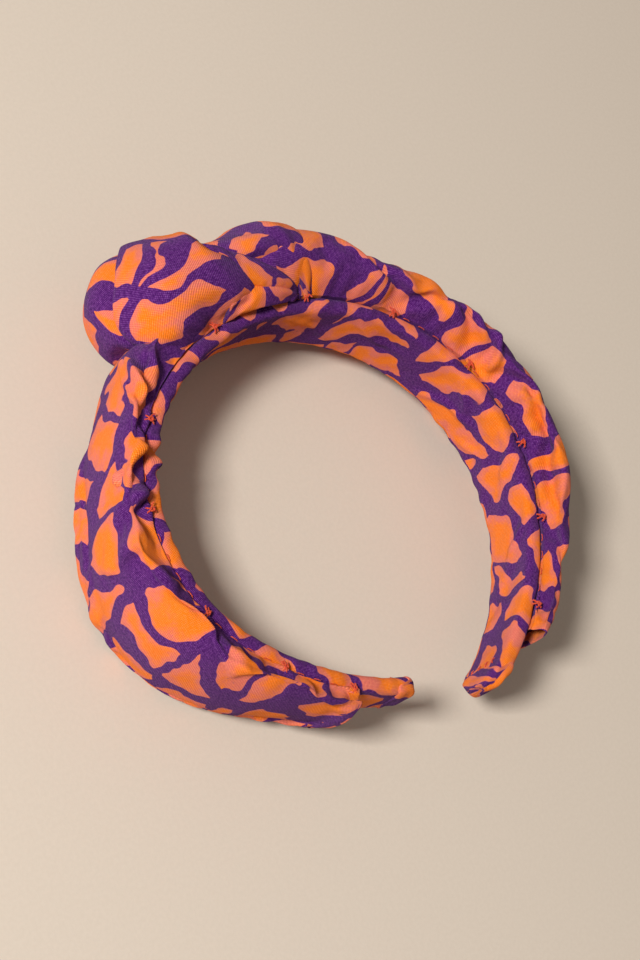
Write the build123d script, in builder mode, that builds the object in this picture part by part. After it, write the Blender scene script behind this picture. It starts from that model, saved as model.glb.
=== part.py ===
"""Knotted headband lying on its side: a sprung one-piece band, lined and padded, with a puffed fabric
sleeve on each arm and a turban knot at the crown.

Millimetres. +Z is up and runs across the band's width, +Y points to the crown and its knot, and +X to
the wearer's right arm of the band. The origin is under the middle of the part, on the surface it lies on.
"""

from build123d import *
import math
import os

LEFT = -1
RIGHT = 1

# Inner face of the band: three tangent arcs (radius, length) on each arm, from the crown to the tip.
CROWN_X = -1.1
CROWN_Y = 48.0
ARCS = {
    LEFT: ((74.5, 46.0), (49.0, 84.0), (100.0, 53.0)),
    RIGHT: ((74.5, 46.0), (58.0, 84.0), (81.0, 54.0)),
}
MID_Z = 23.4

# Layers of the band, each thickness going outwards from the inner face.
LINING = 0.5
FOAM = 1.9
CORE = 1.8
LAYER_GAP = 0.05
FOAM_IN = LINING + LAYER_GAP
FOAM_OUT = FOAM_IN + FOAM
CORE_IN = FOAM_OUT + LAYER_GAP
CORE_OUT = CORE_IN + CORE
LINING_OUT = CORE_OUT + LAYER_GAP + LINING
NEUTRAL = (CORE_IN + CORE_OUT) / 2

# Half widths of the lined band, at the crown, at the middle of the arms and at the tips.
CROWN_HALF = 12.7
SIDE_HALF = 12.3
TIP_HALF = 8.9
SIDE_Y = CROWN_Y - 60.0
TIP_Y = CROWN_Y - 119.0
EDGE_SKIN = LINING + LAYER_GAP

# Where the arms flex, beside the knot, and the tilt of the cuts there: 20 degrees of opening and 2 to spare.
HINGE_AT = {LEFT: 41.0, RIGHT: 35.5}
OPENING = 22.0
HINGE_GAP = 0.5

# Sleeves: distance along the arm, thickness, half width and sag below the band's middle of each oval section.
SLEEVE_BASE = LINING_OUT + 0.35
SLEEVE_SECTIONS = {
    LEFT: (
        (40.5, 12.5, 16.0, 0.0),
        (60.0, 10.5, 16.0, 0.0),
        (80.0, 11.0, 17.0, 1.0),
        (96.0, 14.5, 19.2, 2.2),
        (112.0, 15.5, 20.6, 2.8),
        (128.0, 13.5, 18.6, 2.0),
        (145.0, 10.0, 15.8, 1.0),
        (160.0, 7.0, 12.8, 0.0),
    ),
    RIGHT: (
        (35.0, 12.0, 21.5, 0.0),
        (52.0, 13.0, 23.4, 0.0),
        (68.0, 13.5, 23.8, 0.0),
        (84.0, 13.0, 23.4, 0.0),
        (102.0, 11.5, 21.5, 0.0),
        (120.0, 9.0, 18.5, 0.0),
        (140.0, 7.0, 15.5, 0.0),
        (160.0, 5.8, 12.6, 0.0),
    ),
}
SLEEVE_CLOTH = 0.7
WADDING_GAP = 0.15
HEM_LENGTH = 1.8
HEM_THICKNESS = 1.3

# Knot: distance from the crown (left is negative), thickness, half width and sag of each oval section.
KNOT_SECTIONS = (
    (-38.0, 19.0, 15.5, 0.0),
    (-33.0, 27.0, 19.5, 0.0),
    (-27.0, 31.5, 22.0, 0.0),
    (-19.0, 33.5, 24.0, 0.0),
    (-7.0, 28.0, 24.3, 0.0),
    (9.0, 26.0, 23.6, 0.0),
    (24.0, 21.0, 22.4, 0.0),
    (33.5, 16.0, 20.0, 0.0),
)
KNOT_OVER_CLOTH = 2.6
KNOT_UNDER_CLOTH = 2.0
KNOT_GAP = 0.15
TUCK_AT = -24.0
STRAND_AT = 13.0
KNOT_SLANT = 12.0

# Tips: the lining's end, folded back over the band and sewn down.
FOLD_LENGTH = 6.0
FOLD_CLOTH = 0.5
FOLD_GAP = 0.35
FOLD_ROUND = 1.5

# Threads: tack stitches that pull the sleeve to the band's edges, and the seam's running stitches.
THREAD = 0.8
TACK_LENGTH = 4.2
TACK_SPREAD = 1.1
TACK_REACH = 3.1
TACK_LIFT = 0.6
TACKS = {LEFT: (57.0, 82.0, 112.0, 138.0, 160.0), RIGHT: (46.0, 75.0, 103.0, 126.0, 154.0)}
KNOT_TACKS = (-19.5, 15.5)
SEAM_THREAD = 0.5
SEAM_STITCH = 2.6
SEAM_STEP = 5.4
SEAM_CLEAR = 3.0
SEAM_LIFT = 0.4
TIP_STITCH_STEP = 3.4


def along(side, length):
    """Point of the inner face that far from the crown, and the outward and forward directions there."""
    across = 0.0
    down = 0.0
    turned = 0.0
    rest = length
    for radius, arc_length in ARCS[side]:
        run = min(rest, arc_length)
        across += radius * (math.sin(turned + run / radius) - math.sin(turned))
        down += radius * (math.cos(turned) - math.cos(turned + run / radius))
        turned += run / radius
        rest -= run
    outward = Vector(side * math.sin(turned), math.cos(turned), 0)
    forward = Vector(side * math.cos(turned), -math.sin(turned), 0)
    return Vector(CROWN_X + side * across, CROWN_Y - down, 0), outward, forward


def section_plane(side, length, reach):
    """Plane across the band: its x runs outwards and its y up, with its origin reach outside the inner face."""
    point, outward, forward = along(side, length)
    return Plane(origin=point + outward * reach + Vector(0, 0, MID_Z), x_dir=outward, z_dir=forward * side)


def arm_arcs(side, reach):
    """Draws one arm's arcs, reach outside the inner face, in the open BuildLine, and gives their far end."""
    start = Vector(CROWN_X, CROWN_Y + reach)
    heading = Vector(side, 0)
    for radius, arc_length in ARCS[side]:
        arc = JernArc(start, heading, radius + reach, -side * math.degrees(arc_length / radius))
        start = arc @ 1
        heading = arc % 1
    return start


def band_strip(inner, outer, edge_skin):
    """Strip along the whole band between two distances from its inner face, narrower by edge_skin a side."""
    bottom_y = TIP_Y - CROWN_HALF
    top_y = CROWN_Y + CROWN_HALF
    with BuildPart() as strip:
        with BuildSketch(Plane.XY.offset(MID_Z)):
            with BuildLine():
                for side in (LEFT, RIGHT):
                    Line(arm_arcs(side, inner), arm_arcs(side, outer))
            make_face()
        extrude(amount=CROWN_HALF, both=True)
        with BuildSketch(Plane.YZ):
            with BuildLine():
                for sign in (-1, 1):
                    Polyline(
                        (bottom_y, MID_Z),
                        (bottom_y, MID_Z + sign * (TIP_HALF - edge_skin)),
                        (TIP_Y, MID_Z + sign * (TIP_HALF - edge_skin)),
                        (SIDE_Y, MID_Z + sign * (SIDE_HALF - edge_skin)),
                        (CROWN_Y, MID_Z + sign * (CROWN_HALF - edge_skin)),
                        (top_y, MID_Z + sign * (CROWN_HALF - edge_skin)),
                        (top_y, MID_Z),
                    )
            make_face()
        extrude(amount=CROWN_Y - TIP_Y, both=True, mode=Mode.INTERSECT)
    return strip.part


def arm_length(side):
    """Length of one arm's inner face, from the crown to the tip."""
    return sum(arc_length for radius, arc_length in ARCS[side])


def band_half_width(side, length):
    """Half width of the lined band that far along an arm."""
    y = along(side, length)[0].Y
    if y > SIDE_Y:
        return SIDE_HALF + (CROWN_HALF - SIDE_HALF) * (y - SIDE_Y) / (CROWN_Y - SIDE_Y)
    share = (SIDE_Y - y) / (SIDE_Y - TIP_Y)
    return SIDE_HALF + (TIP_HALF - SIDE_HALF) * min(share, 1.0)


def oval_tube(sections, side, skin):
    """Lofts oval sections along an arm or over the crown, each smaller by skin all round, flat underneath."""
    with BuildPart() as tube:
        for length, thickness, half, sag in sections:
            arm = side if length >= 0 else -side
            reach = SLEEVE_BASE + thickness / 2
            with BuildSketch(section_plane(arm, abs(length), reach)):
                with Locations((0, -sag)):
                    Ellipse(thickness / 2 - skin, half - skin)
        loft()
        split(bisect_by=Plane.XY.offset(skin), keep=Keep.TOP)
    return tube.part


def hinge_cut(side):
    """Plane through the arm's hinge, tilted so that the arm can open without meeting the knot."""
    point, outward, forward = along(side, HINGE_AT[side])
    tilt = math.radians(OPENING)
    normal = forward * math.cos(tilt) - outward * math.sin(tilt)
    return Plane(origin=point + outward * NEUTRAL + forward * HINGE_GAP, z_dir=normal)


def knot_cut(length, shift):
    """Slanting plane across the knot, shift further to the right than that distance from the crown."""
    side = RIGHT if length >= 0 else LEFT
    point, outward, forward = along(side, abs(length))
    rightwards = forward * side
    slant = math.radians(KNOT_SLANT)
    normal = rightwards * math.cos(slant) + Vector(0, 0, 1) * math.sin(slant)
    return Plane(origin=point + rightwards * shift + Vector(0, 0, MID_Z), z_dir=normal)


def sleeve(side):
    """Cloth tube on one arm, open at both ends."""
    with BuildPart() as cloth:
        add(oval_tube(SLEEVE_SECTIONS[side], side, 0.0))
        add(oval_tube(SLEEVE_SECTIONS[side], side, SLEEVE_CLOTH), mode=Mode.SUBTRACT)
        split(bisect_by=hinge_cut(side), keep=Keep.TOP)
    return cloth.part


def sleeve_wadding(side):
    """Soft filling of one sleeve."""
    with BuildPart() as filling:
        add(oval_tube(SLEEVE_SECTIONS[side], side, SLEEVE_CLOTH + WADDING_GAP))
        split(bisect_by=hinge_cut(side), keep=Keep.TOP)
    return filling.part


def sleeve_hem(side):
    """Turned-in end of one sleeve, a thicker oval ring."""
    length, thickness, half, sag = SLEEVE_SECTIONS[side][-1]
    reach = SLEEVE_BASE + thickness / 2
    with BuildPart() as hem:
        with BuildSketch(section_plane(side, length, reach)):
            with Locations((0, -sag)):
                Ellipse(thickness / 2, half)
                Ellipse(thickness / 2 - HEM_THICKNESS, half - HEM_THICKNESS, mode=Mode.SUBTRACT)
        extrude(amount=side * HEM_LENGTH)
    return hem.part


def tip_fold(side):
    """Folded end of the lining: a cap over the tip of the band."""
    start = arm_length(side) - FOLD_LENGTH
    half = band_half_width(side, start) + FOLD_GAP
    depth = LINING_OUT + 2 * FOLD_GAP
    wall = 2 * FOLD_CLOTH
    with BuildPart() as cap:
        with BuildSketch(section_plane(side, start, LINING_OUT / 2)):
            Rectangle(depth + wall, 2 * half + wall)
        extrude(amount=side * (FOLD_LENGTH + FOLD_CLOTH + FOLD_GAP))
        fillet(cap.edges().filter_by(Axis.Z, reverse=True).group_by(SortBy.LENGTH)[0], radius=FOLD_ROUND)
        with BuildSketch(section_plane(side, start, LINING_OUT / 2)):
            Rectangle(depth, 2 * half)
        extrude(amount=side * (FOLD_LENGTH + FOLD_GAP), mode=Mode.SUBTRACT)
    return cap.part


def edge_places(side, lengths, reach, lift):
    """Points just outside both edges of the band at those distances, with the directions there."""
    places = []
    for length in lengths:
        arm = side if length >= 0 else -side
        point, outward, forward = along(arm, abs(length))
        for edge in (-1, 1):
            z = MID_Z + edge * (band_half_width(arm, abs(length)) + lift)
            places.append((point + outward * reach + Vector(0, 0, z), outward, forward))
    return places


def edge_tacks(side, lengths):
    """Tack stitches: two turns of thread over each edge of the band at each of those distances."""
    with BuildPart() as tacks:
        for point, outward, forward in edge_places(side, lengths, TACK_REACH, TACK_LIFT):
            for turn in (-0.5, 0.5):
                place = Plane(origin=point + forward * turn * TACK_SPREAD, z_dir=outward)
                with Locations(place.location):
                    Cylinder(THREAD / 2, TACK_LENGTH)
    return tacks.part


def seam_stitches(side):
    """Running stitches along both edges of one arm."""
    first, last = TACKS[side][0], TACKS[side][-1]
    steps = int((last - first) / SEAM_STEP)
    lengths = [first + SEAM_STEP * (n + 0.5) for n in range(steps)]
    lengths = [s for s in lengths if min(abs(s - tack) for tack in TACKS[side]) > SEAM_CLEAR]
    with BuildPart() as stitches:
        for point, outward, forward in edge_places(side, lengths, LINING_OUT, SEAM_LIFT):
            with Locations(Plane(origin=point, z_dir=forward).location):
                Cylinder(SEAM_THREAD / 2, SEAM_STITCH)
    return stitches.part


def tip_stitches(side):
    """Short stitches that hold the folded tip down on the band's outer face."""
    point, outward, forward = along(side, arm_length(side) - FOLD_LENGTH)
    lift = LINING_OUT + FOLD_GAP + FOLD_CLOTH + SEAM_THREAD
    with BuildPart() as stitches:
        for step in (-1, 0, 1):
            origin = point + outward * lift + Vector(0, 0, MID_Z + step * TIP_STITCH_STEP)
            with Locations(Plane(origin=origin, z_dir=forward).location):
                Cylinder(SEAM_THREAD / 2, SEAM_STITCH)
    return stitches.part


def save(part, label):
    """Labels a finished piece and writes it to its own file."""
    part.label = label
    export_step(part, f"parts/{label}.step")


os.makedirs("parts", exist_ok=True)

# Band core: one strip of sprung plastic, tip to tip.
with BuildPart() as band_core:
    add(band_strip(CORE_IN, CORE_OUT, EDGE_SKIN))
save(band_core.part, "band_core")

# Comfort foam: a thin strip on the core's inner face.
with BuildPart() as comfort_foam:
    add(band_strip(FOAM_IN, FOAM_OUT, EDGE_SKIN))
save(comfort_foam.part, "comfort_foam")

# Lining: one cloth tube round the foam and the core.
with BuildPart() as lining:
    add(band_strip(0.0, LINING_OUT, 0.0))
    add(band_strip(LINING, LINING_OUT - LINING, LINING), mode=Mode.SUBTRACT)
save(lining.part, "lining")

# Knot filling, and the under loop that goes round it.
UNDER_SKIN = KNOT_OVER_CLOTH + KNOT_GAP
KNOT_WADDING_SKIN = UNDER_SKIN + KNOT_UNDER_CLOTH + KNOT_GAP
with BuildPart() as knot_wadding:
    add(oval_tube(KNOT_SECTIONS, RIGHT, KNOT_WADDING_SKIN))
save(knot_wadding.part, "knot_wadding")

with BuildPart() as knot_under_loop:
    add(oval_tube(KNOT_SECTIONS, RIGHT, UNDER_SKIN))
    add(oval_tube(KNOT_SECTIONS, RIGHT, UNDER_SKIN + KNOT_UNDER_CLOTH), mode=Mode.SUBTRACT)
save(knot_under_loop.part, "knot_under_loop")

# The knot's outer wraps: the tucked end on the left, the broad over loop and the two strands on the right.
with BuildPart() as knot_left_tuck:
    add(oval_tube(KNOT_SECTIONS, RIGHT, 0.0))
    add(oval_tube(KNOT_SECTIONS, RIGHT, KNOT_OVER_CLOTH), mode=Mode.SUBTRACT)
    split(bisect_by=knot_cut(TUCK_AT, -KNOT_GAP), keep=Keep.BOTTOM)
save(knot_left_tuck.part, "knot_left_tuck")

with BuildPart() as knot_over_loop:
    add(oval_tube(KNOT_SECTIONS, RIGHT, 0.0))
    add(oval_tube(KNOT_SECTIONS, RIGHT, KNOT_OVER_CLOTH), mode=Mode.SUBTRACT)
    split(bisect_by=knot_cut(TUCK_AT, 0.0), keep=Keep.TOP)
    split(bisect_by=knot_cut(STRAND_AT, 0.0), keep=Keep.BOTTOM)
save(knot_over_loop.part, "knot_over_loop")

for strand, keep, shift in (("upper", Keep.TOP, KNOT_GAP), ("lower", Keep.BOTTOM, 0.0)):
    with BuildPart() as knot_strand:
        add(oval_tube(KNOT_SECTIONS, RIGHT, 0.0))
        add(oval_tube(KNOT_SECTIONS, RIGHT, KNOT_OVER_CLOTH), mode=Mode.SUBTRACT)
        split(bisect_by=knot_cut(STRAND_AT, KNOT_GAP), keep=Keep.TOP)
        split(bisect_by=Plane.XY.offset(MID_Z + shift), keep=keep)
    save(knot_strand.part, f"knot_{strand}_strand")

with BuildPart() as knot_tacks:
    add(edge_tacks(RIGHT, KNOT_TACKS))
save(knot_tacks.part, "knot_tacks")

# Each arm: sleeve, filling, hem, folded tip and threads.
for side, name in ((LEFT, "left"), (RIGHT, "right")):
    save(sleeve(side), f"{name}_sleeve")
    save(sleeve_wadding(side), f"{name}_wadding")
    save(sleeve_hem(side), f"{name}_sleeve_hem")
    save(tip_fold(side), f"{name}_tip_fold")
    save(edge_tacks(side, TACKS[side]), f"{name}_edge_tacks")
    save(seam_stitches(side), f"{name}_seam_stitches")
    save(tip_stitches(side), f"{name}_tip_stitches")
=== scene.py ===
"""Knotted headband in printed cotton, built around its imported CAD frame. Lengths are in mm until a mesh is made."""

import math

import bpy
import numpy as np
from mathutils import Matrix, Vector


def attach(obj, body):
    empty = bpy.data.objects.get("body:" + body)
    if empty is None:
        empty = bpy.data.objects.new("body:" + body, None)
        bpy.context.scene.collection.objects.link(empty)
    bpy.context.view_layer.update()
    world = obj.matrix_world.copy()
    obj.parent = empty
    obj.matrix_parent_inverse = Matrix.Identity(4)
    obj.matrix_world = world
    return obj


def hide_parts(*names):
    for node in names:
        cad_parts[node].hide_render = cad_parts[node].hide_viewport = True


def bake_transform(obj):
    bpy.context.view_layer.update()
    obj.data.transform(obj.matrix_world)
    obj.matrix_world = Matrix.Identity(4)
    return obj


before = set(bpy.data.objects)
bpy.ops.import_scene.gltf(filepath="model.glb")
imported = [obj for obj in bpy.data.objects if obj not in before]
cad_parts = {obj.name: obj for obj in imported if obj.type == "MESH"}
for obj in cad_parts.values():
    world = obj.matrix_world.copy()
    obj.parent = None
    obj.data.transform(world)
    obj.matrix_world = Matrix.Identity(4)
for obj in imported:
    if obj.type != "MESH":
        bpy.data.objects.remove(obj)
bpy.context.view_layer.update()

MM = 0.001
METRE = 1000.0
LEFT = -1
RIGHT = 1

# The band's path and layers, as in the CAD model.
CROWN = (-1.1, 48.0)
MID_Z = 23.4
ARCS = {
    LEFT: ((74.5, 46.0), (49.0, 84.0), (100.0, 53.0)),
    RIGHT: ((74.5, 46.0), (58.0, 84.0), (81.0, 54.0)),
}
BAND_OUT = 4.85
BAND_HALF = ((0.0, 12.7), (90.0, 12.2), (186.0, 9.0))

# Oval sections: distance from the crown, thickness, half width and sag below the band's middle.
LEFT_SECTIONS = (
    (26.0, 13.5, 15.0, 0.0), (40.0, 13.5, 16.0, 0.0), (60.0, 10.5, 16.0, 0.0), (80.0, 11.0, 17.0, 1.0),
    (96.0, 14.5, 19.2, 2.2), (112.0, 15.5, 20.6, 2.8), (128.0, 13.5, 18.6, 2.0), (145.0, 10.0, 15.8, 1.0),
    (162.0, 7.0, 12.6, 0.0),
)
RIGHT_SECTIONS = (
    (-12.0, 17.0, 17.5, 0.0), (0.0, 19.0, 19.0, 0.0), (12.0, 22.0, 22.0, 0.0), (24.0, 20.5, 22.4, 0.0),
    (36.0, 15.0, 22.0, 0.0), (52.0, 13.5, 23.2, 0.0), (68.0, 13.5, 23.4, 0.0), (84.0, 13.0, 22.8, 0.0),
    (102.0, 11.5, 21.0, 0.0), (120.0, 9.0, 18.2, 0.0), (140.0, 7.0, 15.4, 0.0), (162.0, 5.8, 12.4, 0.0),
)
KNOT_SECTIONS = (
    (-38.0, 19.0, 15.5, 0.0), (-33.0, 27.0, 19.5, 0.0), (-27.0, 31.5, 22.0, 0.0), (-19.0, 33.5, 23.2, 0.0),
    (-7.0, 28.0, 23.4, 0.0), (9.0, 26.0, 23.2, 0.0), (24.0, 21.0, 22.4, 0.0), (33.5, 16.0, 20.0, 0.0),
)
OVAL_BASE = 5.2

# Spacing of a mesh's rows along the band, and the points round a sleeve.
ROW_STEP = 1.3
SLEEVE_COLUMNS = 84

# Degrees round a sleeve from its outermost line: where it is sewn to the lining's edge, and where it is hidden.
SEAM_AT = 150
HIDDEN_AT = 182


# ---- geometry of the band -------------------------------------------------------------------------


def smooth(x, low, high):
    """0 below low, 1 above high, and an S curve between them."""
    t = np.clip((x - low) / (high - low), 0, 1)
    return t * t * (3 - 2 * t)


def curve(table, x, column=1):
    """Smooth value of a table's column at x, through its rows."""
    rows = np.array(table, float)
    xs, ys = rows[:, 0], rows[:, column]
    slope = np.gradient(ys, xs)
    k = np.clip(np.searchsorted(xs, x) - 1, 0, len(xs) - 2)
    h = xs[k + 1] - xs[k]
    t = np.clip((x - xs[k]) / h, 0, 1)
    return (
        (2 * t**3 - 3 * t**2 + 1) * ys[k]
        + (t**3 - 2 * t**2 + t) * h * slope[k]
        + (3 * t**2 - 2 * t**3) * ys[k + 1]
        + (t**3 - t**2) * h * slope[k + 1]
    )


def place(s, n, z):
    """Points s along the inner face from the crown (left is negative), n outwards and z above its middle."""
    s, n, z = np.broadcast_arrays(np.asarray(s, float), n, z)
    found = np.zeros(s.shape + (3,))
    for side in (LEFT, RIGHT):
        rest = np.abs(s)
        across = np.zeros(s.shape)
        down = np.zeros(s.shape)
        turned = np.zeros(s.shape)
        for number, (radius, length) in enumerate(ARCS[side]):
            run = rest if number == len(ARCS[side]) - 1 else np.minimum(rest, length)
            across += radius * (np.sin(turned + run / radius) - np.sin(turned))
            down += radius * (np.cos(turned) - np.cos(turned + run / radius))
            turned += run / radius
            rest = rest - run
        point = np.stack(
            [
                CROWN[0] + side * (across + n * np.sin(turned)),
                CROWN[1] - down + n * np.cos(turned),
                MID_Z + z,
            ],
            -1,
        )
        mine = (s >= 0) if side == RIGHT else (s < 0)
        found[mine] = point[mine]
    return found


def band_half(s):
    """Half width of the lined band."""
    rows = np.array(BAND_HALF)
    return np.interp(np.abs(s), rows[:, 0], rows[:, 1])


def oval(sections, s, angle, lift):
    """n and z on an oval section, at an angle from its outermost point, positive to the near (top) edge."""
    thick = curve(sections, s, 1)
    half = curve(sections, s, 2)
    n = OVAL_BASE + thick / 2 + (thick / 2 + lift) * np.cos(angle)
    z = (half + lift) * np.sin(angle) - curve(sections, s, 3)
    return n, z


# ---- meshes ---------------------------------------------------------------------------------------


def new_object(name, data):
    """Object with that data, in the scene."""
    made = bpy.data.objects.new(name, data)
    bpy.context.scene.collection.objects.link(made)
    return made


def grid_object(name, points, caps=False):
    """Tube from a grid of points in mm, its last column joined to its first, with flat cloth lengths as its UVs."""
    rows, columns = points.shape[:2]
    uv = cloth_lengths(points)
    mesh = bpy.data.meshes.new(name)
    faces = []
    loops = []
    for i in range(rows - 1):
        for j in range(columns):
            k = (j + 1) % columns
            faces.append((i * columns + j, i * columns + k, (i + 1) * columns + k, (i + 1) * columns + j))
            loops += [uv[i, j], uv[i, j + 1], uv[i + 1, j + 1], uv[i + 1, j]]
    if caps:
        for row, step in ((0, -1), (rows - 1, 1)):
            ring = list(range(columns))[::step]
            faces.append([row * columns + j for j in ring])
            loops += [uv[row, j] for j in ring]
    mesh.from_pydata((points.reshape(-1, 3) * MM).tolist(), [], faces)
    layer = mesh.uv_layers.new(name="cloth")
    layer.data.foreach_set("uv", (np.array(loops) * MM).ravel())
    mesh.polygons.foreach_set("use_smooth", [True] * len(faces))
    mesh.update()
    return new_object(name, mesh)


def cloth_lengths(points):
    """Flat cloth coordinates of a tube's grid: mean lengths along its rows and columns."""
    ring = np.concatenate([points, points[:, :1]], 1)
    across = np.linalg.norm(np.diff(ring, axis=1), axis=-1).mean(0)
    along = np.quantile(np.linalg.norm(np.diff(points, axis=0), axis=-1), 0.8, axis=1)
    v = np.concatenate([[0], np.cumsum(across)])
    u = np.concatenate([[0], np.cumsum(along)])
    return np.stack(np.meshgrid(u, v, indexing="ij"), -1)


def coords(piece):
    """A mesh's points, in mm."""
    co = np.zeros(len(piece.data.vertices) * 3, np.float32)
    piece.data.vertices.foreach_get("co", co)
    return co.reshape(-1, 3).astype(float) / MM


def set_coords(piece, points):
    """Moves a mesh's points to these, in mm."""
    piece.data.vertices.foreach_set("co", (points * MM).astype(np.float32).ravel())
    piece.data.update()


def normals(piece):
    """Outward normals of a closed grid's points."""
    found = np.zeros(len(piece.data.vertices) * 3, np.float32)
    piece.data.vertices.foreach_get("normal", found)
    return found.reshape(-1, 3).astype(float)


def rest_on_floor(piece):
    """Flattens what would be below the floor."""
    points = coords(piece)
    low = points[:, 2]
    points[:, 2] = np.maximum(low, 0.02 + 0.5 * (low + np.sqrt(low**2 + 0.6)))
    set_coords(piece, points)


def gather(piece, where, reach, depth, count):
    """Pulls a piece's cloth in at a stitch, at (s, n, z), with folds that spread from it."""
    points = coords(piece)
    s, n, z = where
    along = place(s + 1, n, z) - place(s - 1, n, z)
    away = points - place(s, n, z)
    far = np.linalg.norm(away, axis=1)
    run = away @ (along / np.linalg.norm(along))
    turn = np.arctan2(np.sqrt(np.maximum(far**2 - run**2, 0)), run)
    folds = np.cos(2 * count * turn + s) * np.clip(far / 3, 0, 1)
    shift = depth * (0.35 * folds * np.exp(-((far / reach) ** 2)) - np.exp(-((far / (0.4 * reach)) ** 2)))
    set_coords(piece, points + normals(piece) * shift[:, None])


# Cloth is simulated at 20 times its size, where the solver is at its best.
SIM_SCALE = 20.0
SIM_STIFFNESS = 15.0
SIM_BENDING = 0.5


def settle(piece, pins, pressure, grow, frames, limit):
    """Cloth simulation: held where pins is 1, blown up, and grown by a share so that it wrinkles.

    No point ends more than limit mm from where it started.
    """
    start = coords(piece)
    work = new_object("sim_work", piece.data.copy())
    work.data.vertices.foreach_set("co", (start * MM * SIM_SCALE).astype(np.float32).ravel())
    group = work.vertex_groups.new(name="pin")
    for number, weight in enumerate(pins):
        if weight > 0:
            group.add([number], float(weight), "REPLACE")
    cloth = work.modifiers.new("cloth", "CLOTH")
    settings = cloth.settings
    settings.quality = 6
    settings.mass = 0.25
    settings.tension_stiffness = SIM_STIFFNESS
    settings.compression_stiffness = SIM_STIFFNESS
    settings.shear_stiffness = SIM_STIFFNESS * 0.5
    settings.bending_stiffness = SIM_BENDING
    settings.air_damping = 3
    settings.vertex_group_mass = "pin"
    settings.use_pressure = True
    settings.uniform_pressure_force = pressure
    settings.shrink_min = -grow
    settings.effector_weights.gravity = 0
    cloth.collision_settings.use_collision = False
    cloth.point_cache.frame_start = 1
    cloth.point_cache.frame_end = frames
    for number in range(1, frames + 1):
        bpy.context.scene.frame_set(number)
    done = work.evaluated_get(bpy.context.evaluated_depsgraph_get())
    co = np.zeros(len(start) * 3, np.float32)
    done.data.vertices.foreach_get("co", co)
    moved = co.reshape(-1, 3).astype(float) / MM / SIM_SCALE - start
    far = np.linalg.norm(moved, axis=1, keepdims=True)
    moved *= np.minimum(1, limit / np.maximum(far, 1e-6))
    set_coords(piece, start + moved)
    bpy.data.objects.remove(work)
    bpy.context.scene.frame_set(1)


def refine(piece):
    """Subdivides a mesh once, for good."""
    modifier = piece.modifiers.new("fine", "SUBSURF")
    modifier.levels = modifier.render_levels = 1
    modifier.boundary_smooth = "PRESERVE_CORNERS"
    mesh = bpy.data.meshes.new_from_object(piece.evaluated_get(bpy.context.evaluated_depsgraph_get()))
    piece.modifiers.clear()
    piece.data = mesh
    mesh.name = piece.name


def catmull(net, rows):
    """Points along axis 0 of a net, on smooth curves through its rows."""
    net = np.asarray(net, float)
    count = len(net)
    t = np.linspace(0, count - 1, rows)
    k = np.minimum(t.astype(int), count - 2)
    f = (t - k).reshape((-1,) + (1,) * (net.ndim - 1))
    a, b, c, d = net[np.maximum(k - 1, 0)], net[k], net[k + 1], net[np.minimum(k + 2, count - 1)]
    return 0.5 * (2 * b + (c - a) * f + (2 * a - 5 * b + 4 * c - d) * f**2 + (3 * b - a - 3 * c + d) * f**3)


def fold(name, net, thick, rows, columns, pleats):
    """A folded belt of cloth: a closed, flattened tube through a net of (s, n, z) points, its outer side the net.

    pleats are ridges along it: (where across, 0 to 1, at its start and at its end; height; width, 0 to 1).
    """
    lane = catmull(np.moveaxis(catmull(net, rows), 1, 0), columns // 2 + 1)
    sheet = np.moveaxis(lane, 0, 1)
    sheet = place(sheet[..., 0], sheet[..., 1], sheet[..., 2])
    du = np.gradient(sheet, axis=0)
    dv = np.gradient(sheet, axis=1)
    out = np.cross(du, dv)
    out /= np.maximum(np.linalg.norm(out, axis=-1, keepdims=True), 1e-9)
    heart = place(np.mean([row[1][0] for row in net]), 14.0, 0.0)
    if (out * (sheet - heart)).sum() < 0:
        out = -out
    angle = np.linspace(0, 2 * math.pi, columns, endpoint=False)
    share = (1 - np.cos(angle)) / 2
    at = share * (sheet.shape[1] - 1)
    low = np.minimum(at.astype(int), sheet.shape[1] - 2)
    f = (at - low)[None, :, None]
    middle = sheet[:, low] * (1 - f) + sheet[:, low + 1] * f
    push = out[:, low] * (1 - f) + out[:, low + 1] * f
    u = np.linspace(0, 1, rows)[:, None]
    waist = np.interp(u, [0, 0.15, 0.85, 1], [0.35, 1, 1, 0.35])
    round_off = np.sqrt(1 - np.abs(2 * share - 1) ** 6)[None, :] * np.where(np.sin(angle) < 0, -1, 1)
    lift = thick * waist * (round_off - 1) / 2
    ridge = np.zeros((rows, columns))
    for start, end, height, wide in pleats:
        where = start + (end - start) * u
        ridge += height * np.exp(-(((share[None, :] - where) / wide) ** 2)) * (np.sin(angle)[None, :] > 0)
    edge = np.minimum(1, 6 * np.minimum(share, 1 - share))[None, :]
    lift = lift + ridge * edge * np.sin(math.pi * np.clip(u, 0.02, 0.98)) ** 0.5
    return grid_object(name, middle + push * lift[..., None], caps=True)


# A direction that no thread follows, from which its sides are worked out.
SKEW = (0.31, 0.17, 0.93)
THREAD_LAY = 1.5
TACK_RADIUS = 0.26
SEAM_RADIUS = 0.14


def across_path(path):
    """Two directions across a path of points, square to each other, at each of its points."""
    ahead = np.gradient(path, axis=0)
    ahead /= np.linalg.norm(ahead, axis=1, keepdims=True)
    side = np.cross(ahead, SKEW)
    side /= np.linalg.norm(side, axis=1, keepdims=True)
    return side, np.cross(side, ahead)


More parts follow.
